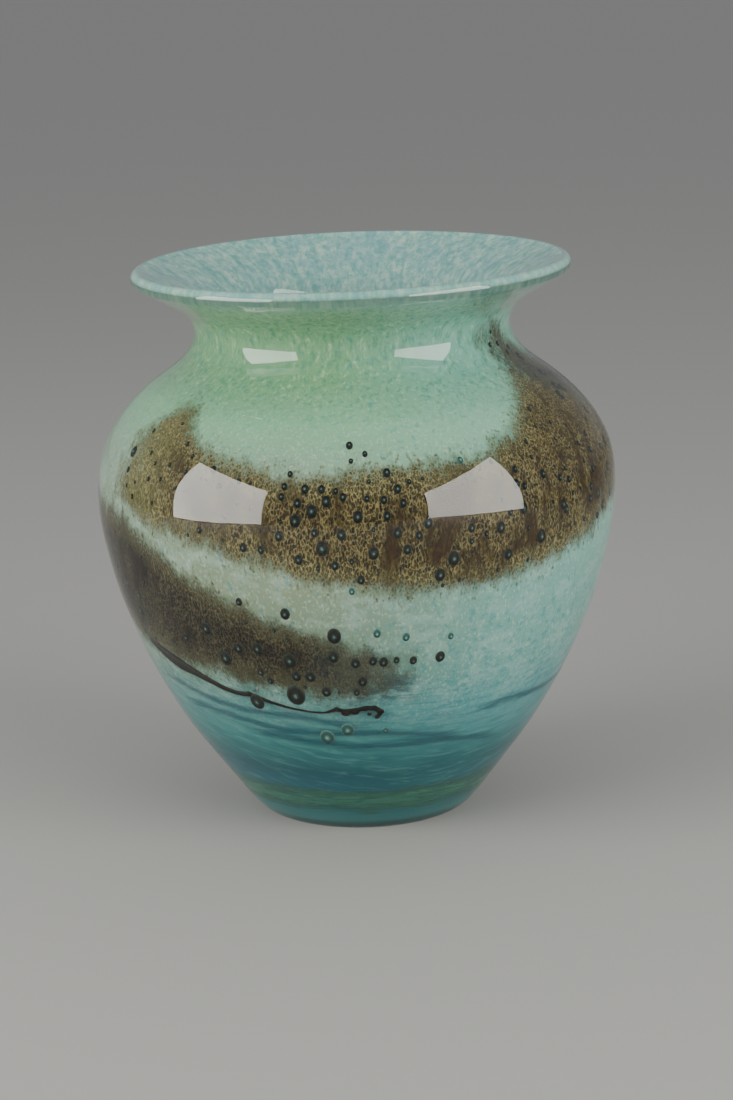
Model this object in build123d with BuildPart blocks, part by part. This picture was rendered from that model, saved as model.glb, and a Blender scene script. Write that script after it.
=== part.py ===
"""Hand blown vase: a round bellied, flare necked vase made of fused layers of glass.

Frame: millimetres, +Z up along the vase's axis, origin at the centre of the foot.
Angles round the wall are degrees from the front (-Y), positive towards +X.
"""

import os
from math import ceil, cos, radians, sin

from build123d import *

# Overall form
height = 152.0
lip_radius = 59.6  # outermost reach of the flared lip
lip_round = 2.0  # radius of the fire-polished lip
lip_start_angle = -62.0  # where the underside of the flare runs into the lip
lip_end_angle = 124.0  # where the lip runs into the mouth

# Foot
foot_flat_radius = 25.7
foot_round = 6.4
foot_round_turn = 45.0
dish_radius = 14.0  # ground hollow left where the pontil was cut off
dish_depth = 1.2

# Outer face of the wall (radius, height), from the foot round to the flare
wall_stations = [
    (36.6, 9.8),
    (48.3, 26.0),
    (59.3, 46.0),
    (67.3, 68.0),
    (70.6, 86.0),
    (69.5, 101.0),
    (63.4, 112.2),
    (53.9, 121.0),
    (45.6, 127.9),
    (42.9, 134.2),
    (44.6, 139.3),
    (49.2, 142.9),
]

# Layers of the wall, as depths below the outer face
casing_depth = 2.2
color_depth = 3.1
wall_depth = 4.4

# Floor of each layer on the axis, and how far it runs flat
casing_floor = 2.4
color_floor = 3.3
cavity_floor = 12.0
floor_flat_radius = 24.0
cavity_flat_radius = 16.0

# Height above which each layer keeps its depth
color_lowest = 9.0
cavity_lowest = 25.0

# The colour comes out at the top of the lip, where the shears cut it, between these angles
color_edge_start = 76.0
color_edge_end = 96.0
color_edge_slope = 44.0

# Where the teal foot colour gives way to the aqua body colour
color_change_height = 47.0

# Trails and threads are pressed into the colour until they lie flush with it
trail_cut_depth = 1.6  # well above the colour, so that the cut goes right through its face
trail_root_depth = 2.9

# Trails and threads: (angle, lower edge, upper edge), with a section cut at least this often
section_step = 9.0
upper_trail_stations = [
    (-64, 100, 112),
    (-52, 91, 120),
    (-38, 89, 112),
    (-20, 83, 107),
    (0, 78, 107),
    (20, 76, 108),
    (38, 78, 111),
    (55, 82, 113),
    (75, 88, 111),
    (95, 93, 107),
    (112, 98, 103),
]
climbing_trail_stations = [
    (12, 48, 54),
    (-2, 46, 61),
    (-20, 49, 68),
    (-40, 51, 78),
    (-60, 54, 89),
    (-85, 60, 94),
    (-115, 68, 98),
    (-145, 77, 104),
    (-180, 87, 110),
    (-215, 97, 116),
    (-250, 107, 123),
    (-278, 114, 128),
    (-304, 125, 134),
]
dark_thread_stations = [
    (-60, 51.6, 53.0),
    (-50, 49.2, 51.0),
    (-40, 46.4, 48.4),
    (-30, 44.2, 46.0),
    (-20, 41.9, 43.3),
    (-10, 41.0, 42.6),
    (0, 40.8, 43.0),
    (5, 40.2, 42.6),
]
# Fine blue threads: (start angle, start height, drop over the run, length of the run)
blue_threads = [
    (-70, 45.0, 9.0, 75),
    (-62, 38.5, 7.0, 95),
    (-40, 33.0, 5.0, 90),
    (30, 38.0, -4.0, 80),
    (95, 36.0, 3.0, 100),
    (170, 41.0, 6.0, 90),
]
blue_thread_height = 1.0
blue_thread_sections = 6

# Green wrap round the foot, between these heights
green_wrap_low = 9.0
green_wrap_high = 15.5

strip_points = 5  # points along each long edge of a trail's section

lip_center = (lip_radius - lip_round, height - lip_round)


def lip_point(radius, angle):
    """A point at a distance and direction from the lip's centre."""
    return (
        lip_center[0] + radius * cos(radians(angle)),
        lip_center[1] + radius * sin(radians(angle)),
    )


def lip_tangent(angle):
    """Direction along the lip's round, running from the outside to the mouth."""
    return (-sin(radians(angle)), cos(radians(angle)))


foot_round_end = (
    foot_flat_radius + foot_round * sin(radians(foot_round_turn)),
    foot_round * (1 - cos(radians(foot_round_turn))),
)
foot_tangent = (cos(radians(foot_round_turn)), sin(radians(foot_round_turn)))
wall_ends = (foot_tangent, lip_tangent(lip_start_angle))
color_edge_tangent = (cos(radians(color_edge_slope)), sin(radians(color_edge_slope)))

# The outer face's curve, kept apart from the sketches so that layers can be measured from it
wall_curve = Spline(
    foot_round_end,
    *wall_stations,
    lip_point(lip_round, lip_start_angle),
    tangents=wall_ends,
)


def along_wall(level):
    """How far along the wall's curve a height lies, from 0 to 1."""
    low, high = 0.0, 1.0
    for _ in range(30):
        middle = (low + high) / 2
        if (wall_curve @ middle).Y < level:
            low = middle
        else:
            high = middle
    return low


def wall_point(level, depth):
    """The point under a height of the outer face, at a depth square to the face."""
    share = along_wall(level)
    place = wall_curve @ share
    run = wall_curve % share
    return (place.X - run.Y * depth, place.Y + run.X * depth)


def contour(depth, floor, flat_radius, lowest, end, end_tangent):
    """Inner face of a layer: flat floor, then up the wall from its lowest height to the lip."""
    levels = [level for _, level in wall_stations]
    levels += [(low + high) / 2 for low, high in zip(levels, levels[1:])]
    points = [wall_point(level, depth) for level in sorted(levels) if level >= lowest]
    Line((0, floor), (flat_radius, floor))
    Spline((flat_radius, floor), *points, end, tangents=((1, 0), end_tangent))


def casing_contour():
    """Face between the clear casing and the colour."""
    end = lip_point(lip_round, color_edge_start)
    contour(casing_depth, casing_floor, floor_flat_radius, color_lowest, end, color_edge_tangent)


def color_contour():
    """Face between the colour and the inner gather."""
    end = lip_point(lip_round, color_edge_end)
    contour(color_depth, color_floor, floor_flat_radius, color_lowest, end, color_edge_tangent)


def lip_arc(start, end):
    """A stretch of the lip's round, from one angle about its centre to another."""
    CenterArc(lip_center, lip_round, start, end - start)


def wall_plane(angle):
    """Upright plane through the axis that looks out at an angle round the wall."""
    turn = radians(angle)
    return Plane(origin=(0, 0, 0), x_dir=(sin(turn), -cos(turn), 0), z_dir=(-cos(turn), -sin(turn), 0))


def strip_section(plane, low, high):
    """Section of a trail's groove, which follows the wall from one height to another."""
    levels = [low + (high - low) * i / (strip_points - 1) for i in range(strip_points)]
    top = [wall_point(level, trail_cut_depth) for level in levels]
    root = [wall_point(level, trail_root_depth) for level in levels]
    with BuildSketch(plane) as section:
        with BuildLine():
            Spline(*top)
            Line(top[-1], root[-1])
            Spline(*root)
            Line(root[0], top[0])
        make_face()
    return section.sketch.face()


def trail_sections(stations):
    """Sections of a trail's groove round the wall, close enough for a loft to keep to the wall."""
    sections = [strip_section(wall_plane(stations[0][0]), *stations[0][1:])]
    for here, there in zip(stations, stations[1:]):
        steps = ceil(abs(there[0] - here[0]) / section_step)
        for i in range(1, steps + 1):
            angle, low, high = (a + (b - a) * i / steps for a, b in zip(here, there))
            sections.append(strip_section(wall_plane(angle), low, high))
    return sections


def blue_thread_stations(start, level, drop, run):
    """Stations of one fine thread that sinks evenly along its run."""
    steps = blue_thread_sections - 1
    return [
        (start + run * i / steps, level - drop * i / steps, level - drop * i / steps + blue_thread_height)
        for i in range(blue_thread_sections)
    ]


# The whole colour rolled on over the inner gather, before anything is laid into it
with BuildPart() as rolled_color:
    with BuildSketch(Plane.XZ):
        with BuildLine():
            casing_contour()
            lip_arc(color_edge_start, color_edge_end)
            color_contour()
            Line((0, casing_floor), (0, color_floor))
        make_face()
    revolve(axis=Axis.Z)

# Grooves that the trails press into the colour. The upper trail crosses the front of the belly.
with BuildPart() as upper_groove:
    loft(trail_sections(upper_trail_stations))

# The climbing trail starts low at the front, runs round the back and thins out at the neck
with BuildPart() as climbing_groove:
    loft(trail_sections(climbing_trail_stations))

# The near-black thread is drawn out under the climbing trail
with BuildPart() as dark_groove:
    loft(trail_sections(dark_thread_stations))

# The fine blue threads flow round the lower body
with BuildPart() as blue_grooves:
    for thread in blue_threads:
        loft(trail_sections(blue_thread_stations(*thread)))

# The green ring is wound round the foot
with BuildPart() as green_groove:
    revolve(strip_section(Plane.XZ, green_wrap_low, green_wrap_high), axis=Axis.Z)

grooves = (upper_groove, climbing_groove, dark_groove, blue_grooves, green_groove)

# Each trail fills its groove as far as the colour's own faces
with BuildPart() as upper_brown_trail:
    add(upper_groove)
    add(rolled_color, mode=Mode.INTERSECT)

with BuildPart() as climbing_brown_trail:
    add(climbing_groove)
    add(rolled_color, mode=Mode.INTERSECT)

with BuildPart() as dark_thread:
    add(dark_groove)
    add(rolled_color, mode=Mode.INTERSECT)

with BuildPart() as blue_streak_threads:
    add(blue_grooves)
    add(rolled_color, mode=Mode.INTERSECT)

with BuildPart() as green_foot_wrap:
    add(green_groove)
    add(rolled_color, mode=Mode.INTERSECT)

# The rest of the colour: aqua above the colour change, teal below it
with BuildPart() as aqua_color_layer:
    add(rolled_color)
    for groove in grooves:
        add(groove, mode=Mode.SUBTRACT)
    split(bisect_by=Plane.XY.offset(color_change_height), keep=Keep.TOP)

with BuildPart() as teal_foot_layer:
    add(rolled_color)
    for groove in grooves:
        add(groove, mode=Mode.SUBTRACT)
    split(bisect_by=Plane.XY.offset(color_change_height), keep=Keep.BOTTOM)

# Inner gather: the first glass on the pipe, which lines the inside and makes the thick floor
with BuildPart() as inner_gather:
    with BuildSketch(Plane.XZ):
        with BuildLine():
            contour(
                wall_depth,
                cavity_floor,
                cavity_flat_radius,
                cavity_lowest,
                lip_point(lip_round, lip_end_angle),
                tuple(-t for t in lip_tangent(lip_end_angle)),
            )
            lip_arc(color_edge_end, lip_end_angle)
            color_contour()
            Line((0, color_floor), (0, cavity_floor))
        make_face()
    revolve(axis=Axis.Z)

# Clear casing: the last gather, over everything, with the ground foot and the lip
with BuildPart() as outer_casing:
    with BuildSketch(Plane.XZ):
        with BuildLine():
            Line((0, dish_depth), (0, casing_floor))
            casing_contour()
            lip_arc(lip_start_angle, color_edge_start)
            Spline(
                foot_round_end,
                *wall_stations,
                lip_point(lip_round, lip_start_angle),
                tangents=wall_ends,
            )
            JernArc((foot_flat_radius, 0), (1, 0), foot_round, foot_round_turn)
            Line((foot_flat_radius, 0), (dish_radius, 0))
            Spline((dish_radius, 0), (0, dish_depth), tangents=((-1, 0.25), (-1, 0)))
        make_face()
    revolve(axis=Axis.Z)

pieces = {
    "outer_casing": outer_casing,
    "aqua_color_layer": aqua_color_layer,
    "teal_foot_layer": teal_foot_layer,
    "inner_gather": inner_gather,
    "upper_brown_trail": upper_brown_trail,
    "climbing_brown_trail": climbing_brown_trail,
    "dark_thread": dark_thread,
    "blue_streak_threads": blue_streak_threads,
    "green_foot_wrap": green_foot_wrap,
}

os.makedirs("parts", exist_ok=True)
for name, piece in pieces.items():
    piece.part.label = name
    export_step(piece.part, f"parts/{name}.step")
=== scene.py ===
"""Looks of the hand blown vase: clear glass over and under rolled colour, laid trails and air bubbles.

Sizes are in millimetres, angles in degrees round the vase from its front, positive to its right.
"""

import math

import bpy
import numpy as np
from mathutils import Matrix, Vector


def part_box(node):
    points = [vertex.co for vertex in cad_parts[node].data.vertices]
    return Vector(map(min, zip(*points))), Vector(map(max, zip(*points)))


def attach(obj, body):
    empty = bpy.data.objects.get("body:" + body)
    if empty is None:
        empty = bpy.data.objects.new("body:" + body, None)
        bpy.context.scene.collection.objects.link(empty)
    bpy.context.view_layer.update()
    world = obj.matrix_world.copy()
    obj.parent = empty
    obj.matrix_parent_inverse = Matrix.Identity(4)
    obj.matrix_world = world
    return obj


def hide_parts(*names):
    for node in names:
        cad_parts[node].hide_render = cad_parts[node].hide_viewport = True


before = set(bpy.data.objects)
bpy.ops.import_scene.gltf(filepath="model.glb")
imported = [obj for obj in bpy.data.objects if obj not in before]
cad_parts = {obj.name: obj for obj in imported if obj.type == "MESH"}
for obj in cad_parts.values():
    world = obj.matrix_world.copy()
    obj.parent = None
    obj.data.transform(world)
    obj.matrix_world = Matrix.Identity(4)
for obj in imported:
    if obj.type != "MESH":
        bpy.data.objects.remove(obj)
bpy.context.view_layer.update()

MM = 0.001
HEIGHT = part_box("outer_casing")[1].z / MM
SEGMENTS = 256
SHARP_FROM = 50.0
ON_AXIS = 1e-6

# ---------------------------------------------------------------- sizes

LIP_RADIUS = 59.6
LIP_ROUND = 2.0
LIP_CENTRE = np.array([LIP_RADIUS - LIP_ROUND, HEIGHT - LIP_ROUND])
LIP_START = -62.0
LIP_SEAM = 96.0
LIP_END = 118.0
FLARE_BEGINS = 128.0

FOOT_FLAT_RADIUS = 25.7
FOOT_ROUND = 6.4
FOOT_TURN = 45.0
DISH_RADIUS = 14.0
DISH_DEPTH = 1.2

WALL_STATIONS = [
    (36.6, 9.8),
    (48.3, 26.0),
    (59.3, 46.0),
    (67.3, 68.0),
    (70.6, 86.0),
    (69.5, 101.0),
    (63.4, 112.2),
    (53.9, 121.0),
    (45.6, 127.9),
    (42.9, 134.2),
    (44.6, 139.3),
    (49.2, 142.9),
]

COLOR_DEPTH = 2.2
COLOR_THICKNESS = 0.9
WALL_DEPTH = 4.4
CLEAR_OVERLAP = 0.45
CLEAR_GAP = 0.15
LIP_COVER = 0.8
TRAIL_DEPTH = 2.0
TRAIL_THICKNESS = 0.12
BUBBLE_DEPTH = 1.15
COLOR_CHANGE_HEIGHT = 47.0
COLOR_FLOOR = 2.4
CAVITY_FLOOR = 12.0
CAVITY_FLAT_RADIUS = 16.0
CAVITY_WALL_HEIGHT = 25.0
FLOOR_FLAT_RADIUS = 24.0

RIM_TILT = 0.0122
RIM_PITCH = 0.015
RIPPLE = 0.035
NEVER_ENDS = 99.0
ROOM_LIGHT = 0.7
ROOM_MIRRORED = 0.3
WINDOW_AWAY = 0.9

# ---------------------------------------------------------------- profile


def on_circle(centre, radius, angles):
    """Points of a circle at the given angles."""
    turn = np.radians(angles)
    return np.column_stack([centre[0] + radius * np.cos(turn), centre[1] + radius * np.sin(turn)])


def smooth_curve(points, leaving, arriving, count):
    """Points along the cubic spline through the given points, with the given directions at its ends."""
    knots = np.array(points, float)
    spans = np.linalg.norm(np.diff(knots, axis=0), axis=1)
    last = len(knots) - 1
    system = np.zeros((last + 1, last + 1))
    sides = np.zeros((last + 1, 2))
    system[0, 0] = 1.0
    system[last, last] = 1.0
    sides[0] = leaving
    sides[last] = arriving
    for i in range(1, last):
        before, after = spans[i - 1], spans[i]
        system[i, i - 1 : i + 2] = after, 2.0 * (before + after), before
        rise = after / before * (knots[i] - knots[i - 1]) + before / after * (knots[i + 1] - knots[i])
        sides[i] = 3.0 * rise
    slopes = np.linalg.solve(system, sides)
    reached = np.concatenate([[0.0], np.cumsum(spans)])
    at = np.linspace(0.0, reached[-1], count)
    i = np.clip(np.searchsorted(reached, at, side="right") - 1, 0, last - 1)
    h = spans[i][:, None]
    u = (at - reached[i])[:, None] / h
    start = (1 + 2 * u) * (1 - u) ** 2 * knots[i] + u * (1 - u) ** 2 * h * slopes[i]
    end = u * u * (3 - 2 * u) * knots[i + 1] + u * u * (u - 1) * h * slopes[i + 1]
    return start + end


def direction(angle):
    """Unit vector at an angle in the profile's plane."""
    return np.array([math.cos(math.radians(angle)), math.sin(math.radians(angle))])


foot_centre = (FOOT_FLAT_RADIUS, FOOT_ROUND)
foot_arc = on_circle(foot_centre, FOOT_ROUND, np.linspace(-90.0, FOOT_TURN - 90.0, 10))
lip_foot = on_circle(LIP_CENTRE, LIP_ROUND, [LIP_START])[0]
wall = smooth_curve(
    [foot_arc[-1], *WALL_STATIONS, lip_foot], direction(FOOT_TURN), direction(LIP_START + 90.0), 150
)
wall_turn = np.gradient(wall, axis=0)
wall_turn /= np.linalg.norm(wall_turn, axis=1)[:, None]
wall_out = np.column_stack([wall_turn[:, 1], -wall_turn[:, 0]])
thickening = np.clip((wall[:, 1] - FLARE_BEGINS) / (lip_foot[1] - FLARE_BEGINS), 0.0, 1.0) ** 2


def inside_wall(depth, lip_depth=None):
    """The wall's outline moved inward by a depth, which may differ at the lip."""
    at_lip = depth if lip_depth is None else lip_depth
    return wall - wall_out * (depth + (at_lip - depth) * thickening)[:, None]


def on_wall(height, depth):
    """Radius and height of points a depth below the outer surface, level by level."""
    radius = np.interp(height, wall[:, 1], wall[:, 0])
    out_r = np.interp(height, wall[:, 1], wall_out[:, 0])
    out_z = np.interp(height, wall[:, 1], wall_out[:, 1])
    return radius - out_r * depth, height - out_z * depth


def into_lip(depth, angle, below):
    """Path from a depth inside the wall to just under the top of the lip."""
    start_radius = LIP_ROUND - depth
    share = np.linspace(0.0, 1.0, 14)[1:]
    radius = start_radius + (LIP_ROUND - below - start_radius) * share
    return on_circle(LIP_CENTRE, radius, LIP_START + (angle - LIP_START) * share)


def across_lip(depth, angle, below):
    """Straight path from a depth inside the wall to just under the top of the lip."""
    start = on_circle(LIP_CENTRE, LIP_ROUND - depth, [LIP_START])[0]
    end = on_circle(LIP_CENTRE, LIP_ROUND - below, [angle])[0]
    share = np.linspace(0.0, 1.0, 8)[1:, None]
    return start + (end - start) * share


def floor_line(level, radius):
    """Flat floor from the axis to a radius."""
    return np.array([(0.0, level), (radius * 0.5, level), (radius, level)])


dish_share = np.linspace(0.0, 1.0, 8)
dish = np.column_stack([DISH_RADIUS * dish_share, DISH_DEPTH * (1.0 - dish_share**2)])
color_mid = COLOR_DEPTH + CLEAR_OVERLAP

outer_skin = np.vstack(
    [
        dish,
        foot_arc,
        wall[1:],
        on_circle(LIP_CENTRE, LIP_ROUND, np.linspace(LIP_START, LIP_SEAM, 26))[1:],
    ]
)
casing_inside = np.vstack(
    [
        floor_line(COLOR_FLOOR + CLEAR_OVERLAP, FLOOR_FLAT_RADIUS),
        inside_wall(color_mid),
        across_lip(color_mid, LIP_SEAM - 4.0, LIP_COVER),
    ]
)
color_outside = np.vstack(
    [
        floor_line(COLOR_FLOOR, FLOOR_FLAT_RADIUS),
        inside_wall(COLOR_DEPTH),
        into_lip(COLOR_DEPTH, LIP_SEAM - 18.0, CLEAR_GAP),
    ]
)
color_inside = np.vstack(
    [
        floor_line(COLOR_FLOOR + COLOR_THICKNESS, FLOOR_FLAT_RADIUS),
        inside_wall(COLOR_DEPTH + COLOR_THICKNESS),
        across_lip(COLOR_DEPTH + COLOR_THICKNESS, LIP_SEAM + 4.0, CLEAR_GAP),
    ]
)
cavity_wall = inside_wall(WALL_DEPTH, 2.0 * LIP_ROUND)
cavity_upper = cavity_wall[cavity_wall[:, 1] > CAVITY_WALL_HEIGHT]
cavity_bend = smooth_curve(
    [(CAVITY_FLAT_RADIUS, CAVITY_FLOOR), cavity_upper[0]],
    (1.0, 0.0),
    cavity_upper[1] - cavity_upper[0],
    16,
)
cavity = np.vstack([floor_line(CAVITY_FLOOR, CAVITY_FLAT_RADIUS), cavity_bend[1:-1], cavity_upper])
lining_outside = np.vstack(
    [
        floor_line(COLOR_FLOOR + CLEAR_OVERLAP + CLEAR_GAP, FLOOR_FLAT_RADIUS),
        inside_wall(color_mid + CLEAR_GAP),
        across_lip(color_mid + CLEAR_GAP, LIP_SEAM - 2.0, LIP_COVER),
    ]
)
lip_inside = on_circle(LIP_CENTRE, LIP_ROUND, np.linspace(LIP_SEAM, LIP_END, 6))

# ---------------------------------------------------------------- mesh building


def step_up(value, low, high):
    """0 below low, 1 above high, with a smooth rise between them."""
    share = np.clip((value - low) / (high - low), 0.0, 1.0)
    return share * share * (3.0 - 2.0 * share)


def hand_made(points):
    """Moves points from the turned shape to the blown one: a tilted, wavy rim and a faint ripple."""
    x, y, z = points[:, 0], points[:, 1], points[:, 2]
    radius = np.hypot(x, y)
    turn = np.arctan2(x, -y)
    rim = step_up(z, 118.0, 150.0)
    body = step_up(z, 6.0, 30.0)
    wave = np.sin(z / 3.1 + 1.7 * np.sin(2.0 * turn)) + 0.8 * np.sin(5.0 * turn + z / 9.0)
    wave += 0.7 * np.sin(9.0 * turn - z / 5.0)
    outward = RIPPLE * body * wave + rim * 0.25 * np.cos(2.0 * turn + 0.6)
    grown = 1.0 + outward / np.maximum(radius, 8.0)
    lift = rim * (RIM_TILT * x + RIM_PITCH * y + 0.18 * np.sin(2.0 * turn + 0.9))
    return np.column_stack([x * grown, y * grown, z + lift])


def around(radius, height, angle):
    """Points at a radius and height, an angle round from the front."""
    turn = np.radians(angle)
    return np.column_stack([radius * np.sin(turn), -radius * np.cos(turn), height])


def add_mesh(name, points, faces, materials, choice=None, fields=None):
    """A smooth shaded mesh object from millimetre points, with its materials and per-point fields."""
    mesh = bpy.data.meshes.new(name)
    mesh.from_pydata((hand_made(points) * MM).tolist(), [], [list(map(int, face)) for face in faces])
    for material in materials:
        mesh.materials.append(material)
    if choice is not None:
        mesh.polygons.foreach_set("material_index", np.asarray(choice, np.int32))
    for field_name, values in (fields or {}).items():
        field = mesh.attributes.new(field_name, "FLOAT_VECTOR", "POINT")
        field.data.foreach_set("vector", np.asarray(values, np.float32).ravel())
    mesh.polygons.foreach_set("use_smooth", np.ones(len(mesh.polygons), bool))
    mesh.set_sharp_from_angle(angle=math.radians(SHARP_FROM))
    mesh.validate()
    mesh.update()
    made = bpy.data.objects.new(name, mesh)
    bpy.context.scene.collection.objects.link(made)
    return made


def turned(name, outline, materials, face_choice=None):
    """A closed outline of (radius, height) points turned round the axis. Points on the axis close it."""
    count = len(outline)
    angles = np.arange(SEGMENTS) * 360.0 / SEGMENTS
    points = []
    index = []
    total = 0
    for radius, height in outline:
        if radius < ON_AXIS:
            points.append(np.array([[0.0, 0.0, height]]))
            index.append([total] * SEGMENTS)
            total += 1
        else:
            points.append(around(radius, np.full(SEGMENTS, height), angles))
            index.append(list(range(total, total + SEGMENTS)))
            total += SEGMENTS
    faces = []
    choice = []
    for i in range(count):
        j = (i + 1) % count
        if outline[i][0] < ON_AXIS and outline[j][0] < ON_AXIS:
            continue
        for s in range(SEGMENTS):
            t = (s + 1) % SEGMENTS
            ring = [index[i][s], index[i][t], index[j][t], index[j][s]]
            faces.append(list(dict.fromkeys(ring)))
            choice.append(0 if face_choice is None else face_choice[i])
    return add_mesh(name, np.vstack(points), faces, materials, choice)


def strip(name, stations, margin, materials, depth=TRAIL_DEPTH, closed=False):
    """A thin sheet of glass along stations of (angle, low edge, high edge), a margin wider than them.

    Its field "edges" holds how far each point is inside the low edge, the high edge and the nearer end.
    """
    rows = np.array(sorted(map(tuple, stations)), float)
    steps = max(int((rows[-1, 0] - rows[0, 0]) / 0.8), 4)
    angles = np.linspace(rows[0, 0], rows[-1, 0], steps + 1)
    low = np.interp(angles, rows[:, 0], rows[:, 1])
    high = np.interp(angles, rows[:, 0], rows[:, 2])
    across = max(int((high - low).max() + 2 * margin), 6)
    share = np.linspace(0.0, 1.0, across + 1)
    level = (low - margin)[:, None] + ((high - low) + 2 * margin)[:, None] * share[None, :]
    angle = np.repeat(angles[:, None], across + 1, axis=1)
    scale = np.radians(1.0) * np.interp(level, wall[:, 1], wall[:, 0])
    to_end = np.minimum(angle - angles[0], angles[-1] - angle) * scale
    if closed:
        to_end = np.full_like(angle, NEVER_ENDS)
    edges = np.stack([level - low[:, None], high[:, None] - level, to_end], axis=-1).reshape(-1, 3)
    faces = []
    points = []
    for face_depth in (depth, depth + TRAIL_THICKNESS):
        radius, height = on_wall(level.ravel(), face_depth)
        points.append(around(radius, height, angle.ravel()))
    wide = across + 1
    back = (steps + 1) * wide
    for i in range(steps):
        for j in range(across):
            a = i * wide + j
            quad = [a, a + wide, a + wide + 1, a + 1]
            faces.append(quad)
            faces.append([q + back for q in reversed(quad)])
    rim = [(i * wide, (i + 1) * wide) for i in range(steps)]
    rim += [((i + 1) * wide + across, i * wide + across) for i in range(steps)]
    rim += [(j + 1, j) for j in range(across)]
    rim += [(steps * wide + j, steps * wide + j + 1) for j in range(across)]
    for a, b in rim:
        faces.append([b, a, a + back, b + back])
    fields = {"edges": np.vstack([edges, edges])}
    return add_mesh(name, np.vstack(points), faces, materials, fields=fields)


def ball_points(angle, height, wide, tall, deep, depth, around_steps=16, rings=9):
    """Points and faces of a flattened ball whose middle lies a depth below the surface."""
    radius, level = on_wall(np.array([height]), depth)
    middle = around(radius, level, np.array([angle]))[0]
    turn = math.radians(angle)
    out_r = np.interp(height, wall[:, 1], wall_out[:, 0])
    out_z = np.interp(height, wall[:, 1], wall_out[:, 1])
    out = np.array([out_r * math.sin(turn), -out_r * math.cos(turn), out_z])
    side = np.array([math.cos(turn), math.sin(turn), 0.0])
    up = np.cross(out, side)
    points = [middle + out * deep]
    spot = [0.0]
    for k in range(1, rings):
        lean = math.pi * k / rings
        for s in range(around_steps):
            spin = 2.0 * math.pi * s / around_steps
            flat = side * wide * math.cos(spin) + up * tall * math.sin(spin)
            points.append(middle + out * deep * math.cos(lean) + flat * math.sin(lean))
            spot.append(math.sin(lean) if lean < math.pi / 2.0 else 1.0)
    points.append(middle - out * deep)
    spot.append(1.0)
    faces = []
    for s in range(around_steps):
        t = (s + 1) % around_steps
        faces.append([0, 1 + s, 1 + t])
        for k in range(rings - 2):
            a = 1 + k * around_steps
            b = a + around_steps
            faces.append([a + s, b + s, b + t, a + t])
        a = 1 + (rings - 2) * around_steps
        faces.append([a + s, len(points) - 1, a + t])
    return np.array(points), faces, spot


def ball_group(name, balls, materials):
    """Many balls in one mesh.

    Their field "spot" grows from 0 in the middle of the outer side to 1 at the rim.
    """
    points, faces, spots = [], [], []
    total = 0
    for ball in balls:
        new_points, new_faces, spot = ball_points(*ball)
        points.append(new_points)
        faces += [[total + i for i in face] for face in new_faces]
        spots += [(value, value, value) for value in spot]
        total += len(new_points)
    return add_mesh(name, np.vstack(points), faces, materials, fields={"spot": spots})


def thread(name, path, materials, sides=12, flatness=0.55):
    """A drawn thread through (angle, height, radius) stations, flattened against the colour."""
    rows = np.array(path, float)
    span = np.concatenate([[0.0], np.cumsum(np.hypot(np.diff(rows[:, 0]), np.diff(rows[:, 1])))])
    at = np.linspace(0.0, span[-1], len(rows) * 10)
    angle, level, thick = (np.interp(at, span, rows[:, k]) for k in range(3))
    smooth = np.array([0.1, 0.2, 0.4, 0.2, 0.1])
    for line in (angle, level, thick):
        line[2:-2] = np.convolve(line, smooth, mode="valid")
    radius, height = on_wall(level, TRAIL_DEPTH - 0.35)
    middle = around(radius, height, angle)
    along = np.gradient(middle, axis=0)
    along /= np.linalg.norm(along, axis=1)[:, None]
    turn = np.radians(angle)
    out_r = np.interp(level, wall[:, 1], wall_out[:, 0])
    out = np.column_stack(
        [out_r * np.sin(turn), -out_r * np.cos(turn), np.interp(level, wall[:, 1], wall_out[:, 1])]
    )
    side = np.cross(along, out)
    spins = np.arange(sides) * 2.0 * math.pi / sides
    rings = [
        middle + (side * math.cos(s) + out * flatness * math.sin(s)) * thick[:, None] for s in spins
    ]
    points = np.stack(rings, axis=1).reshape(-1, 3)
    faces = []
    for i in range(len(at) - 1):
        for s in range(sides):
            t = (s + 1) % sides
            faces.append([i * sides + s, i * sides + t, (i + 1) * sides + t, (i + 1) * sides + s])
    faces.append(list(range(sides)))
    faces.append(list(range((len(at) - 1) * sides, len(at) * sides))[::-1])
    return add_mesh(name, points, faces, materials)


# ---------------------------------------------------------------- materials


def paint(red, green, blue):
    """Linear colour of a 0 to 255 display colour."""
    parts = [channel / 255.0 for channel in (red, green, blue)]
    linear = [p / 12.92 if p <= 0.04045 else ((p + 0.055) / 1.055) ** 2.4 for p in parts]
    return (*linear, 1.0)


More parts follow.
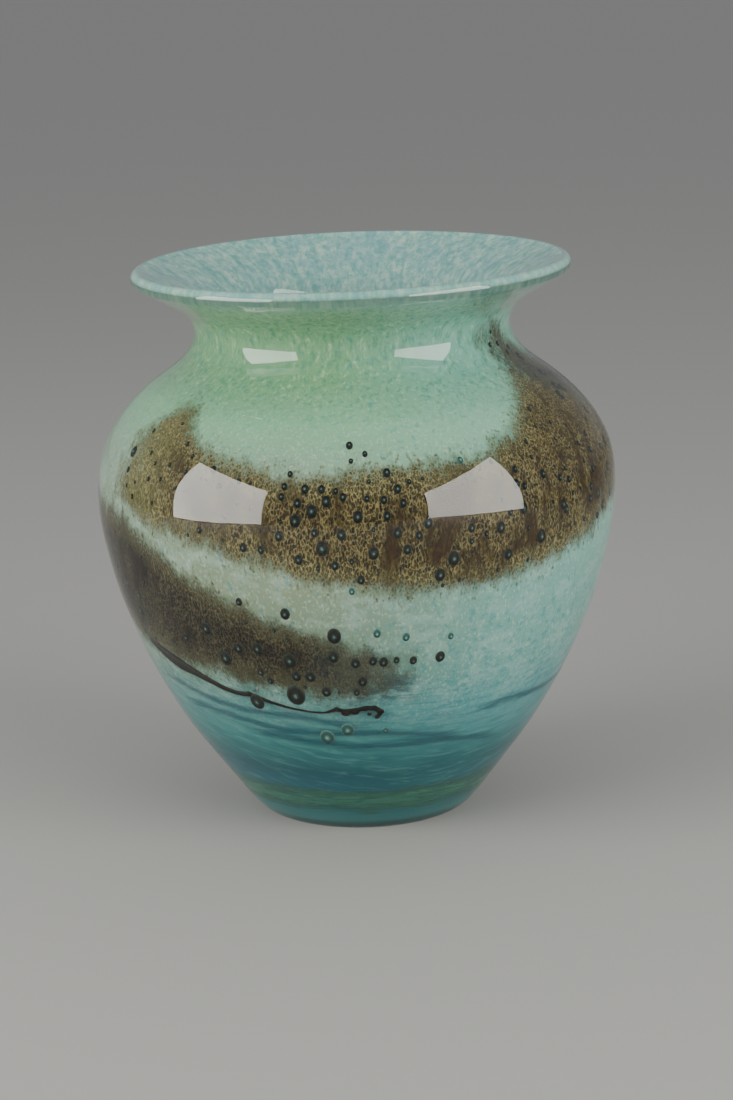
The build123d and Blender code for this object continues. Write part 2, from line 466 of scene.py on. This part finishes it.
class Shade:
    """One material built with short calls. Lengths in it are millimetres."""

    def __init__(self, name):
        self.material = bpy.data.materials.new(name)
        self.material.use_nodes = True
        self.tree = self.material.node_tree
        self.tree.nodes.clear()
        self.surface = self.tree.nodes.new("ShaderNodeBsdfPrincipled")
        output = self.tree.nodes.new("ShaderNodeOutputMaterial")
        self.tree.links.new(self.surface.outputs["BSDF"], output.inputs["Surface"])
        place = self.tree.nodes.new("ShaderNodeTexCoord").outputs["Object"]
        self.place = self.vector("SCALE", place, scale=1.0 / MM)
        self.x, self.y, self.z = self.split(self.place)
        front = self.math("MULTIPLY", self.y, -1.0)
        self.angle = self.math("MULTIPLY", self.math("ARCTAN2", self.x, front), 180.0 / math.pi)
        across = self.math("ADD", self.times(self.x, self.x), self.times(self.y, self.y))
        self.radius = self.math("SQRT", across)

    def put(self, socket, value):
        """Links an output to a socket, or sets a plain value on it."""
        if isinstance(value, bpy.types.NodeSocket):
            self.tree.links.new(value, socket)
        else:
            socket.default_value = value

    def set(self, **values):
        """Sets the surface's own inputs by name, with _ for a space."""
        for name, value in values.items():
            self.put(self.surface.inputs[name.replace("_", " ")], value)

    def math(self, operation, a, b=0.0, clamp=False):
        node = self.tree.nodes.new("ShaderNodeMath")
        node.operation = operation
        node.use_clamp = clamp
        self.put(node.inputs[0], a)
        self.put(node.inputs[1], b)
        return node.outputs[0]

    def vector(self, operation, a, b=(0.0, 0.0, 0.0), scale=1.0):
        node = self.tree.nodes.new("ShaderNodeVectorMath")
        node.operation = operation
        self.put(node.inputs[0], a)
        if operation == "SCALE":
            node.inputs["Scale"].default_value = scale
        else:
            self.put(node.inputs[1], b)
        return node.outputs["Vector"]

    def split(self, vector):
        node = self.tree.nodes.new("ShaderNodeSeparateXYZ")
        self.put(node.inputs[0], vector)
        return node.outputs

    def join(self, x, y, z):
        node = self.tree.nodes.new("ShaderNodeCombineXYZ")
        for socket, value in zip(node.inputs, (x, y, z)):
            self.put(socket, value)
        return node.outputs[0]

    def field(self, name):
        node = self.tree.nodes.new("ShaderNodeAttribute")
        node.attribute_name = name
        return node.outputs["Vector"]

    def noise(self, vector, size, detail=3.0, roughness=0.55, distortion=0.0):
        """Cloudy noise from 0 to 1 whose lumps are about size wide."""
        node = self.tree.nodes.new("ShaderNodeTexNoise")
        self.put(node.inputs["Vector"], vector)
        node.inputs["Scale"].default_value = 1.0 / size
        node.inputs["Detail"].default_value = detail
        node.inputs["Roughness"].default_value = roughness
        node.inputs["Distortion"].default_value = distortion
        return node.outputs["Fac"]

    def cells(self, vector, size, feature="F1"):
        """Voronoi cells about size wide: their distance, and for F1 also a colour for each."""
        node = self.tree.nodes.new("ShaderNodeTexVoronoi")
        node.feature = feature
        self.put(node.inputs["Vector"], vector)
        node.inputs["Scale"].default_value = 1.0 / size
        return node.outputs

    def step(self, value, low, high):
        """0 below low and 1 above high, smooth between. With low above high it falls instead."""
        node = self.tree.nodes.new("ShaderNodeMapRange")
        node.interpolation_type = "SMOOTHSTEP"
        self.put(node.inputs["Value"], value)
        if low < high:
            bounds = (low, high, 0.0, 1.0)
        else:
            bounds = (high, low, 1.0, 0.0)
        for name, bound in zip(("From Min", "From Max", "To Min", "To Max"), bounds):
            node.inputs[name].default_value = bound
        return node.outputs["Result"]

    def mix(self, factor, a, b):
        node = self.tree.nodes.new("ShaderNodeMix")
        node.data_type = "RGBA"
        self.put(node.inputs["Factor"], factor)
        self.put(node.inputs[6], a)
        self.put(node.inputs[7], b)
        return node.outputs[2]

    def times(self, *values):
        result = values[0]
        for value in values[1:]:
            result = self.math("MULTIPLY", result, value)
        return result

    def ramp(self, value, low, high, stops):
        """Colour of a value between low and high from (value, colour) stops."""
        node = self.tree.nodes.new("ShaderNodeValToRGB")
        scaled = self.math("DIVIDE", self.math("SUBTRACT", value, low), high - low)
        self.put(node.inputs["Fac"], scaled)
        bands = node.color_ramp.elements
        while len(bands) < len(stops):
            bands.new(0.5)
        for band, (at, color) in zip(bands, stops):
            band.position = (at - low) / (high - low)
            band.color = color
        return node.outputs["Color"]

    def stretched(self, across, up):
        """Position with its horizontal part and its height divided by the given stretches."""
        return self.join(
            self.math("DIVIDE", self.x, across),
            self.math("DIVIDE", self.y, across),
            self.math("DIVIDE", self.z, up),
        )


def clear_glass(name, tint):
    """Clear soda glass with a faint tint and slight unevenness."""
    shade = Shade(name)
    shade.set(
        Base_Color=tint,
        Transmission_Weight=1.0,
        IOR=1.5,
    )
    shade.set(Roughness=shade.times(shade.noise(shade.place, 30.0, 2.0), 0.03))
    return shade.material


def ground_color(shade):
    """Outside colour of the rolled frit at any height, shared by the upper and lower layers."""
    right = shade.times(shade.step(shade.angle, -15.0, 40.0), shade.step(shade.angle, 176.0, 100.0))
    waver = shade.math("SUBTRACT", shade.noise(shade.stretched(2.0, 1.0), 14.0), 0.5)
    level = shade.math("ADD", shade.z, shade.times(waver, 9.0))
    left_color = shade.ramp(
        level,
        0.0,
        152.0,
        [
            (2.0, paint(45, 97, 95)),
            (14.0, paint(20, 77, 87)),
            (22.0, paint(15, 68, 75)),
            (32.0, paint(46, 102, 100)),
            (42.0, paint(63, 111, 108)),
            (52.0, paint(87, 112, 97)),
            (76.0, paint(106, 121, 98)),
            (104.0, paint(108, 127, 110)),
            (116.0, paint(103, 148, 116)),
            (126.0, paint(90, 130, 94)),
            (140.0, paint(91, 132, 95)),
            (149.0, paint(128, 162, 132)),
        ],
    )
    right_color = shade.ramp(
        level,
        0.0,
        152.0,
        [
            (2.0, paint(45, 97, 95)),
            (14.0, paint(21, 77, 84)),
            (22.0, paint(23, 80, 83)),
            (32.0, paint(59, 113, 114)),
            (42.0, paint(72, 126, 126)),
            (52.0, paint(87, 136, 128)),
            (76.0, paint(96, 140, 130)),
            (104.0, paint(101, 142, 123)),
            (116.0, paint(112, 155, 131)),
            (126.0, paint(93, 142, 125)),
            (140.0, paint(93, 142, 125)),
            (149.0, paint(126, 164, 143)),
        ],
    )
    color = shade.mix(right, left_color, right_color)

    # Drawn out streaks run up the neck
    neck = shade.step(shade.z, 112.0, 124.0)
    streak_noise = shade.noise(shade.stretched(1.0, 3.2), 1.3, 4.0, 0.65, 0.6)
    streaks = shade.times(neck, shade.step(streak_noise, 0.50, 0.66))
    color = shade.mix(shade.times(streaks, 0.55), color, paint(46, 104, 80))
    pale_streaks = shade.times(neck, shade.step(streak_noise, 0.46, 0.32))
    color = shade.mix(shade.times(pale_streaks, 0.35), color, paint(160, 190, 152))

    # Unmelted white and teal grains of frit show through the pale zones
    grain = shade.noise(shade.stretched(1.0, 1.5), 0.7, 3.0, 0.6)
    upper = shade.step(shade.z, 30.0, 52.0)
    milk = shade.step(shade.noise(shade.stretched(1.8, 1.0), 5.0, 3.0, 0.6), 0.46, 0.62)
    milk = shade.times(milk, upper, shade.step(shade.z, 108.0, 94.0), 0.26)
    color = shade.mix(milk, color, paint(144, 170, 162))
    low_on_neck = shade.math("SUBTRACT", 1.0, shade.times(neck, 0.75))
    white = shade.times(upper, shade.step(grain, 0.50, 0.70), low_on_neck)
    color = shade.mix(shade.times(white, 0.36), color, paint(168, 186, 166))
    spots = shade.noise(shade.stretched(1.0, 1.3), 1.7, 3.0, 0.6, 0.4)
    low_right = shade.times(right, shade.step(shade.z, 78.0, 60.0), 0.07)
    spots = shade.math("ADD", spots, low_right)
    teal = shade.times(shade.step(shade.z, 26.0, 40.0), shade.step(spots, 0.58, 0.70))
    color = shade.mix(shade.times(teal, 0.5), color, paint(44, 112, 116))

    # Flow lines sweep down to the right in the teal
    from_front = shade.math("SUBTRACT", shade.angle, 20.0)
    sweep = shade.math("COSINE", shade.times(from_front, math.pi / 180.0))
    dip = shade.times(shade.math("SUBTRACT", 1.0, sweep), 16.0)
    flow_level = shade.math("SUBTRACT", shade.z, dip)
    flow_place = shade.join(
        shade.math("DIVIDE", shade.x, 9.0),
        shade.math("DIVIDE", shade.y, 9.0),
        shade.math("DIVIDE", flow_level, 1.2),
    )
    flow = shade.noise(flow_place, 1.0, 4.0, 0.6, 0.9)
    low_zone = shade.times(shade.step(shade.z, 10.0, 18.0), shade.step(level, 56.0, 44.0))
    dark_flow = shade.times(low_zone, shade.step(flow, 0.50, 0.62))
    color = shade.mix(shade.times(dark_flow, 0.28), color, paint(12, 62, 76))
    pale_flow = shade.times(low_zone, shade.step(flow, 0.47, 0.36))
    color = shade.mix(shade.times(pale_flow, 0.18), color, paint(104, 150, 144))

    # Navy glass smears out past the low end of the climbing trail
    smear = shade.step(shade.noise(shade.stretched(2.4, 0.8), 2.0, 3.0, 0.6), 0.40, 0.58)
    beside = shade.times(shade.step(shade.angle, -9.0, 0.0), shade.step(shade.angle, 17.0, 9.0))
    level_with = shade.times(shade.step(shade.z, 43.5, 47.0), shade.step(shade.z, 55.0, 51.0))
    color = shade.mix(shade.times(smear, beside, level_with, 0.75), color, paint(22, 52, 68))

    # The lip shows the same frit as the inside
    lip = shade.mix(0.2, frit_color(shade), paint(104, 142, 122))
    return shade.mix(shade.times(shade.step(shade.z, 146.0, 149.5), 0.95), color, lip)


def rolled_glass(name):
    """Opaque coloured glass seen through the clear casing."""
    shade = Shade(name)
    shade.set(Base_Color=ground_color(shade), Roughness=0.5, Specular_IOR_Level=0.05)
    return shade.material


def frit_color(shade):
    """Pale blue and teal frit, streaked outward over the lip."""
    turn_x = shade.times(shade.math("DIVIDE", shade.x, shade.radius), 24.0)
    turn_y = shade.times(shade.math("DIVIDE", shade.y, shade.radius), 24.0)
    outward = shade.math("DIVIDE", shade.radius, 5.0)
    upward = shade.math("DIVIDE", shade.z, 6.0)
    rays = shade.join(turn_x, turn_y, shade.math("ADD", outward, upward))
    mottle = shade.noise(shade.place, 1.6, 4.0, 0.65, 0.5)
    cloud = shade.noise(shade.place, 14.0, 2.0)
    color = shade.ramp(
        shade.noise(rays, 1.0, 4.0, 0.65, 0.4),
        0.0,
        1.0,
        [
            (0.34, paint(84, 138, 132)),
            (0.50, paint(120, 157, 148)),
            (0.66, paint(150, 177, 162)),
        ],
    )
    color = shade.mix(shade.times(shade.step(mottle, 0.50, 0.62), 0.44), color, paint(78, 128, 134))
    color = shade.mix(shade.times(shade.step(mottle, 0.46, 0.36), 0.36), color, paint(164, 186, 172))
    return shade.mix(shade.times(shade.step(cloud, 0.45, 0.65), 0.3), color, paint(96, 140, 152))


def inside_color(name):
    """Inner face of the rolled colour, with painted shade darkening it deep in the vase."""
    shade = Shade(name)
    # Painted shade: the frit turns part way to a darker green from 120 mm down to 60 mm, deep in the
    # cavity
    deep = shade.step(shade.z, 120.0, 60.0)
    color = shade.mix(shade.times(deep, 0.5), frit_color(shade), paint(70, 100, 92))
    shade.set(Base_Color=color, Roughness=0.5, Specular_IOR_Level=0.05)
    return shade.material


def laced_brown(name, dark, middle, light, red, net, tip, fray):
    """Brown trail broken into lace where the glass stretched, frayed at its edges."""
    shade = Shade(name)
    to_low, to_high, to_end = shade.split(shade.field("edges"))
    sway = shade.math("SUBTRACT", shade.noise(shade.place, 2.4, 2.0), 0.5)
    place = shade.vector("ADD", shade.stretched(1.0, 2.0), shade.join(sway, sway, 0.0))
    cell = shade.cells(place, 0.72)
    edge = shade.cells(place, 0.72, "DISTANCE_TO_EDGE")
    fine = shade.noise(shade.stretched(1.0, 2.6), 0.55, 3.0, 0.7)
    patch = shade.noise(shade.stretched(1.0, 2.2), 9.0, 4.0, 0.65, 0.6)

    cell_tone = shade.split(cell["Color"])[0]
    tone = shade.math("ADD", shade.times(cell_tone, 0.28), shade.times(fine, 0.80))
    color = shade.ramp(tone, 0.0, 1.0, [(0.44, dark), (0.62, middle), (0.82, light)])
    reddish = shade.times(shade.step(patch, 0.52, 0.66), 0.5)
    color = shade.mix(reddish, color, red)
    color = shade.mix(shade.times(shade.step(to_end, 34.0, 12.0), 0.75), color, tip)
    lace_zone = shade.step(patch, 0.60, 0.46)
    lace = shade.times(shade.step(edge["Distance"], 0.17, 0.03), shade.step(fine, 0.36, 0.56))

    broad = shade.math("SUBTRACT", shade.noise(shade.place, 8.0, 2.0), 0.5)
    tongue = shade.math("SUBTRACT", shade.noise(shade.stretched(1.0, 5.0), 2.2, 2.0), 0.5)
    inside = shade.math("MINIMUM", to_low, to_high)
    from_end = shade.math("SUBTRACT", shade.times(to_end, 0.35), fray)
    inside = shade.math("MINIMUM", inside, from_end)
    inside = shade.math("ADD", inside, shade.times(broad, 2.2 * fray))
    inside = shade.math("ADD", inside, shade.times(tongue, 2.2 * fray))
    thin = shade.step(inside, 3.2 * fray, 0.0)
    color = shade.mix(shade.times(thin, 0.35), color, paint(92, 92, 62))
    lace_strength = shade.times(shade.math("ADD", lace_zone, thin), 0.42)
    color = shade.mix(shade.times(lace, lace_strength), color, net)

    cover = shade.step(inside, -1.2 * fray, 2.0 * fray)
    grain = shade.math("ADD", fine, shade.times(edge["Distance"], 0.5))
    grain = shade.math("SUBTRACT", grain, 0.62)
    open_lace = shade.times(grain, thin, 3.4)
    trail = shade.math("MULTIPLY", cover, shade.math("ADD", 1.0, open_lace), clamp=True)
    fleck = shade.noise(shade.stretched(1.0, 2.0), 1.0, 3.0, 0.6)
    near = shade.times(shade.step(inside, -6.5, 0.0), shade.step(from_end, -fray, 2.0))
    flecks = shade.times(shade.step(fleck, 0.56, 0.68), near, 0.5)
    alpha = shade.math("MAXIMUM", trail, flecks)
    shade.set(Base_Color=color, Alpha=alpha, Roughness=0.5, Specular_IOR_Level=0.05)
    return shade.material


def soft_streak(name, color, second, feather, strength):
    """Plain coloured glass with soft edges, streaked along its length."""
    shade = Shade(name)
    to_low, to_high, to_end = shade.split(shade.field("edges"))
    streak = shade.noise(shade.stretched(9.0, 0.8), 1.0, 3.0, 0.6, 0.4)
    inside = shade.math("MINIMUM", to_low, to_high)
    from_end = shade.math("SUBTRACT", shade.times(to_end, 0.12), feather)
    inside = shade.math("MINIMUM", inside, from_end)
    fray = shade.times(shade.math("SUBTRACT", streak, 0.5), 3.0 * feather)
    inside = shade.math("ADD", inside, fray)
    cover = shade.step(inside, -feather, feather)
    shade.set(
        Base_Color=shade.mix(shade.step(streak, 0.35, 0.65), color, second),
        Alpha=shade.times(cover, strength),
        Roughness=0.5,
        Specular_IOR_Level=0.05,
    )
    return shade.material


def dark_glass(name):
    """Nearly black drawn glass, olive where it is thin."""
    shade = Shade(name)
    mottle = shade.noise(shade.place, 1.6, 3.0)
    color = shade.ramp(mottle, 0.0, 1.0, [(0.48, paint(4, 4, 3)), (0.74, paint(34, 29, 14))])
    shade.set(Base_Color=color, Roughness=0.5, Specular_IOR_Level=0.05)
    return shade.material


def bubble_glass(name, ring, middle, painted_glint):
    """Air bubble in the casing, its look painted into colour: a dark ring of painted shade round a small
    pale painted highlight.
    """
    shade = Shade(name)
    spot = shade.split(shade.field("spot"))[0]
    fleck = shade.math("SUBTRACT", shade.noise(shade.place, 0.6, 2.0), 0.5)
    spot = shade.math("ADD", spot, shade.times(fleck, 0.30))
    # Painted light: a pale painted highlight in the middle, painted shade in the dark ring, a little
    # lighter again at the rim
    stops = [(0.08, painted_glint), (0.26, middle), (0.48, ring), (0.80, ring), (1.0, middle)]
    color = shade.ramp(spot, 0.0, 1.0, stops)
    shade.set(Base_Color=color, Roughness=0.5, Specular_IOR_Level=0.05)
    return shade.material


casing_glass = clear_glass("clear_casing", (0.985, 1.0, 0.99, 1.0))
lining_glass = clear_glass("clear_lining", (0.985, 1.0, 0.992, 1.0))
aqua_glass = rolled_glass("aqua_frit")
teal_glass = rolled_glass("teal_frit")
inner_frit = inside_color("pale_inner_frit")
upper_lace = laced_brown(
    "brown_lace",
    dark=paint(24, 18, 7),
    middle=paint(47, 38, 14),
    light=paint(82, 71, 35),
    red=paint(44, 28, 9),
    net=paint(142, 134, 92),
    tip=paint(76, 78, 46),
    fray=2.5,
)
climbing_lace = laced_brown(
    "dark_brown_lace",
    dark=paint(8, 7, 4),
    middle=paint(20, 16, 9),
    light=paint(46, 39, 24),
    red=paint(24, 15, 7),
    net=paint(92, 88, 64),
    tip=paint(26, 42, 50),
    fray=2.6,
)
blue_glass = soft_streak("blue_glass", paint(8, 58, 74), paint(20, 80, 94), 0.9, 0.34)
green_glass = soft_streak("green_glass", paint(34, 86, 74), paint(50, 98, 82), 2.4, 0.85)
black_glass = dark_glass("black_glass")
# Both bubble looks are painted light: a dark ring of painted shade round a pale painted highlight
air = bubble_glass("trapped_air", paint(13, 16, 12), paint(32, 40, 34), paint(66, 96, 95))
pale_air = bubble_glass("pale_trapped_air", paint(30, 60, 56), paint(62, 98, 90), paint(98, 140, 132))

# ---------------------------------------------------------------- glass layers


def show(piece, *nodes, slot):
    """Puts a piece on the vase in place of its CAD nodes."""
    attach(piece, "root")
    if nodes:
        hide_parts(*nodes)
    return piece


def see_through(piece):
    """Lets light reach the colour through a clear piece without a shadow."""
    piece.visible_shadow = False
    piece.visible_diffuse = False


casing = turned("casing", np.vstack([outer_skin, casing_inside[::-1]]), [casing_glass])
show(casing, "outer_casing", slot="clear_casing")
see_through(casing)

lining = turned("lining", np.vstack([lining_outside, lip_inside, cavity[::-1]]), [lining_glass])
show(lining, "inner_gather", slot="clear_lining")
see_through(lining)


def cut_at(path, keep_above):
    """The part of a path above or below the height where the colour changes."""
    above = path[path[:, 1] > COLOR_CHANGE_HEIGHT]
    below = path[path[:, 1] <= COLOR_CHANGE_HEIGHT]
    share = (COLOR_CHANGE_HEIGHT - below[-1, 1]) / (above[0, 1] - below[-1, 1])
    edge = below[-1] + share * (above[0] - below[-1])
    return np.vstack([edge, above]) if keep_above else np.vstack([below, edge])


COLOR_LAYERS = [
    ("aqua_color", True, aqua_glass, "aqua_color_layer", "aqua_frit"),
    ("teal_color", False, teal_glass, "teal_foot_layer", "teal_frit"),
]
for name, keep_above, material, node, slot in COLOR_LAYERS:
    outside = cut_at(color_outside, keep_above)
    inside = cut_at(color_inside, keep_above)
    choice = [0] * len(outside) + [1] * len(inside)
    layer = turned(name, np.vstack([outside, inside[::-1]]), [material, inner_frit], choice)
    show(layer, node, slot=slot)

# ---------------------------------------------------------------- trails

UPPER_TRAIL = [
    (-68, 98, 108),
    (-60, 95, 114),
    (-55, 92, 118),
    (-50, 90, 120),
    (-45, 90, 116),
    (-40, 89, 112),
    (-30, 86, 108.5),
    (-20, 83.5, 106.5),
    (-10, 80, 106),
    (0, 78, 107),
    (10, 76, 108),
    (20, 75.5, 108),
    (30, 76, 109),
    (40, 78, 113),
    (50, 80, 120),
    (60, 83, 125),
    (75, 88, 122),
    (90, 92, 114),
    (112, 97, 103),
]
CLIMBING_TRAIL = [
    (-312, 134, 139),
    (-304, 130, 137.5),
    (-298, 126, 136),
    (-290, 120, 132),
    (-278, 113, 127),
    (-250, 106, 123),
    (-215, 97, 116),
    (-180, 87, 110),
    (-145, 77, 104),
    (-115, 68, 98),
    (-85, 59, 93),
    (-70, 55, 90),
    (-60, 53, 89),
    (-50, 52, 84),
    (-40, 51, 77),
    (-30, 50, 72),
    (-20, 48.5, 68),
    (-10, 47, 64),
    (0, 46, 59),
    (6, 48, 58),
    (13, 51, 57),
]

upper_trail = strip("upper_trail", UPPER_TRAIL, 8.0, [upper_lace])
show(upper_trail, "upper_brown_trail", slot="brown_lace")
climbing_trail = strip("climbing_trail", CLIMBING_TRAIL, 7.0, [climbing_lace], depth=TRAIL_DEPTH - 0.2)
show(climbing_trail, "climbing_brown_trail", slot="dark_brown_lace")

green_ring = strip(
    "green_wrap", [(-180, 7.5, 13.0), (180, 7.5, 13.0)], 3.0, [green_glass], closed=True
)
show(green_ring, "green_foot_wrap", slot="green_glass")

BLUE_THREADS = [
    (-70, 45.0, 9.0, 75),
    (-62, 38.5, 7.0, 95),
    (-40, 33.0, 5.0, 90),
    (30, 38.0, -4.0, 80),
    (95, 36.0, 3.0, 100),
    (170, 41.0, 6.0, 90),
]
BLUE_STATIONS = 15
BLUE_HALF = 0.7
BLUE_WAVE = 0.7
blue_shares = np.linspace(0.0, 1.0, BLUE_STATIONS)
blue_waves = BLUE_WAVE * np.sin(11.0 * blue_shares)
for number, (start, level, drop, run) in enumerate(BLUE_THREADS):
    middles = level - drop * blue_shares + blue_waves
    stations = np.column_stack([start + run * blue_shares, middles - BLUE_HALF, middles + BLUE_HALF])
    streak = strip(f"blue_thread_{number + 1}", stations, 1.2, [blue_glass], depth=TRAIL_DEPTH - 0.3)
    show(streak, "blue_streak_threads", slot="blue_glass")

DARK_THREAD = [
    (-64, 55.0, 1.0),
    (-57, 52.4, 1.9),
    (-52, 50.6, 2.0),
    (-47, 49.3, 1.3),
    (-42, 47.5, 0.9),
    (-38, 46.0, 0.8),
    (-34, 45.2, 0.7),
    (-30, 45.3, 0.75),
    (-25, 43.6, 0.55),
    (-20, 42.3, 0.4),
    (-14, 41.3, 0.3),
    (-10, 41.2, 0.3),
    (-7, 42.3, 0.6),
    (-5, 41.7, 0.6),
    (-2, 42.0, 0.7),
    (1, 42.6, 0.8),
    (3.6, 42.2, 0.8),
    (4.6, 40.8, 0.7),
    (3.6, 39.4, 0.45),
]
dark_line = thread("dark_line", DARK_THREAD, [black_glass])
show(dark_line, "dark_thread", slot="black_glass")

# Angle, height and width of the beads that gathered at the thread's hooked end
BEADS = [
    (-7.0, 42.4, 1.5), (-4.6, 41.2, 2.5), (-2.2, 41.5, 2.3), (0.4, 42.4, 2.0), (2.8, 42.5, 1.9),
    (4.6, 41.2, 1.8), (3.7, 39.6, 1.3), (1.6, 40.6, 1.2), (-42.5, 47.7, 2.2), (-30.5, 45.5, 1.7),
]
beads = ball_group(
    "dark_beads",
    [(a, z, w / 2.0, w * 0.46, 0.45, TRAIL_DEPTH - 0.35) for a, z, w in BEADS],
    [black_glass],
)
show(beads, "dark_thread", slot="black_glass")

# ---------------------------------------------------------------- bubbles

# Angle, height and width of each bubble that stands out
DARK_BUBBLES = [
    (-33, 107, 1.6), (-14.5, 107, 1.4), (-15.5, 104, 1.6), (-11, 103.5, 2), (-7.5, 103.5, 1.8),
    (-16, 101.5, 1.6), (-12.5, 100, 2), (-9.5, 98, 2.8), (-6.5, 100.5, 2.4), (-3, 101.5, 1.8),
    (-4.5, 103, 1.4), (0, 96.5, 2.6), (-13, 95.5, 2.8), (-16.5, 91.5, 2.2), (-9, 92.5, 1.8),
    (-3.5, 92, 2.4), (-7.5, 88.5, 3.2), (-24.5, 88, 2), (-20.5, 87.7, 1.8), (-12.5, 85.5, 2.2),
    (-5, 84, 2), (-35, 91.5, 1.6), (-1.5, 85, 1.4), (0.3, 80, 2), (-1.5, 113.5, 1.8),
    (-1.2, 110, 1.2), (2, 111.5, 1.4), (6.5, 107, 2), (8.5, 103, 2), (5.5, 100.5, 1.8),
    (9.5, 99.5, 1.8), (2, 101, 1.4), (6, 96.5, 2), (14.5, 94, 2.4), (8, 92, 2.4),
    (12.5, 91, 1.9), (3, 87, 2.8), (10, 87.5, 2.2), (20, 84, 3.2), (17, 80, 2.8),
    (24, 91.5, 2), (27.5, 89.5, 1.4), (31, 90.5, 2.6), (24, 88, 1.4), (33.5, 94, 1.6),
    (36, 101, 2), (36.5, 104.5, 1.6), (37, 94.5, 2.6), (38, 100, 1.6), (42, 86, 3),
    (33, 83, 2.4), (44, 102, 2), (49, 93, 2.2), (49, 100, 1.6), (52, 99, 1.6),
    (50, 91.5, 2), (60, 92, 1.8), (-37.5, 64, 3), (-29.5, 59.5, 2.6), (-24.5, 60, 3),
    (-45, 60, 2), (-34, 56, 3.6), (-17, 57, 3.6), (-16, 52.5, 2.6), (-12.5, 52.5, 2.8),
    (-25, 53, 2), (-23, 50.5, 1.8), (-6, 64.5, 3.6), (-6.5, 58.5, 2.8), (-1.5, 56.5, 2.4),
    (-17, 46.5, 5), (-9, 48, 2.6), (-28.5, 43.5, 4), (0, 51, 2.6), (-1.5, 47.8, 1.8),
    (-16.5, 70.5, 2.6), (-27, 73, 1.8), (2.5, 57, 2.2), (5, 56.6, 2.4), (8, 57, 1.6),
    (12, 56.5, 2), (18.5, 56.8, 2.6),
]
PALE_BUBBLES = [
    (-1.7, 77, 1.6), (23.5, 108.5, 1.6), (3.5, 65, 2), (10, 63.5, 2), (20.5, 62.5, 1.6),
    (-10.5, 33.5, 4), (-4.5, 36, 3.5), (6, 35.5, 1.6),
]
BUBBLE_COUNT = 330
BUBBLE_SEED = 7
TALL = 1.28
DEEPEST = 0.8


def bubble(angle, height, width):
    """Size and place of one bubble, drawn out upward and flattened in the casing."""
    return angle, height, width / 2.0, width / 2.0 * TALL, min(width / 2.0, DEEPEST), BUBBLE_DEPTH


random = np.random.default_rng(BUBBLE_SEED)
dark_balls = [bubble(*place) for place in DARK_BUBBLES]
trails = [np.array(sorted(rows), float) for rows in (UPPER_TRAIL, CLIMBING_TRAIL)]
taken = [(a, z) for a, z, _ in DARK_BUBBLES + PALE_BUBBLES]
while len(dark_balls) < BUBBLE_COUNT:
    rows = trails[random.integers(2)]
    angle = random.uniform(rows[0, 0] + 6.0, rows[-1, 0] - 6.0)
    low, high = (np.interp(angle, rows[:, 0], rows[:, k]) for k in (1, 2))
    height = random.uniform(low + 1.0, high - 2.0)
    turn = (angle + 180.0) % 360.0 - 180.0
    crowded = any(abs(height - z) < 2.8 and abs(turn - a) < 2.6 for a, z in taken)
    if crowded:
        continue
    in_view = -60.0 < turn < 60.0
    width = random.uniform(0.7, 1.2) if in_view else random.uniform(0.9, 2.8)
    taken.append((turn, height))
    dark_balls.append(bubble(turn, height, width))
pale_balls = [bubble(*place) for place in PALE_BUBBLES]

for name, balls, look in (("air_bubbles", dark_balls, air), ("pale_air_bubbles", pale_balls, pale_air)):
    bubbles = show(ball_group(name, balls, [look]), slot="clear_casing")
    bubbles.visible_shadow = False

# ---------------------------------------------------------------- room

bpy.ops.mesh.primitive_plane_add(size=30.0, location=(0.0, 8.0, 0.0))
floor = bpy.context.active_object
floor.name = "studio_floor"
floor_shade = Shade("studio_paper")
floor_shade.set(Base_Color=paint(148, 147, 144), Roughness=0.9, Specular_IOR_Level=0.1)
floor.data.materials.append(floor_shade.material)


def panel(name, facing, y_range, z_range, radiance):
    """An upright rectangular soft light beside the vase, facing +X or -X."""
    wide = y_range[1] - y_range[0]
    tall = z_range[1] - z_range[0]
    light = bpy.data.lights.new(name, "AREA")
    light.shape = "RECTANGLE"
    light.size = tall
    light.size_y = wide
    light.energy = radiance * math.pi * wide * tall
    light.color = (1.0, 0.985, 0.94)
    placed = bpy.data.objects.new(name, light)
    placed.location = (-WINDOW_AWAY * facing, sum(y_range) / 2.0, sum(z_range) / 2.0)
    placed.rotation_euler = (0.0, -math.radians(90.0) * facing, 0.0)
    bpy.context.scene.collection.objects.link(placed)


panel("left_window", 1.0, (-1.07, -0.10), (0.01, 0.72), 10.5)
panel("right_window", -1.0, (-1.60, -0.28), (0.01, 0.84), 9.2)

# The room is softly lit but looks darker than its light in the vase's reflections
world = bpy.data.worlds.new("soft_room")
world.use_nodes = True
room = world.node_tree.nodes["Background"]
room.inputs["Color"].default_value = (0.95, 0.97, 1.0, 1.0)
rays = world.node_tree.nodes.new("ShaderNodeLightPath")
dimmed = world.node_tree.nodes.new("ShaderNodeMath")
dimmed.operation = "MULTIPLY_ADD"
dimmed.inputs[1].default_value = ROOM_MIRRORED - ROOM_LIGHT
dimmed.inputs[2].default_value = ROOM_LIGHT
world.node_tree.links.new(rays.outputs["Is Glossy Ray"], dimmed.inputs[0])
world.node_tree.links.new(dimmed.outputs[0], room.inputs["Strength"])
bpy.context.scene.world = world

LENS_LENGTH = 87.6
CAMERA_PLACE = (0.0, -0.720, 0.2414)
CAMERA_TURN = -0.17
CAMERA_RISE = 76.72
CAMERA_ROLL = -1.6

lens = bpy.data.cameras.new("photo_view")
lens.lens = LENS_LENGTH
camera = bpy.data.objects.new("photo_view", lens)
aim = (
    Matrix.Rotation(math.radians(CAMERA_TURN), 4, "Z")
    @ Matrix.Rotation(math.radians(CAMERA_RISE), 4, "X")
    @ Matrix.Rotation(math.radians(CAMERA_ROLL), 4, "Z")
)
camera.matrix_world = Matrix.Translation(CAMERA_PLACE) @ aim
bpy.context.scene.collection.objects.link(camera)
bpy.context.scene.camera = camera
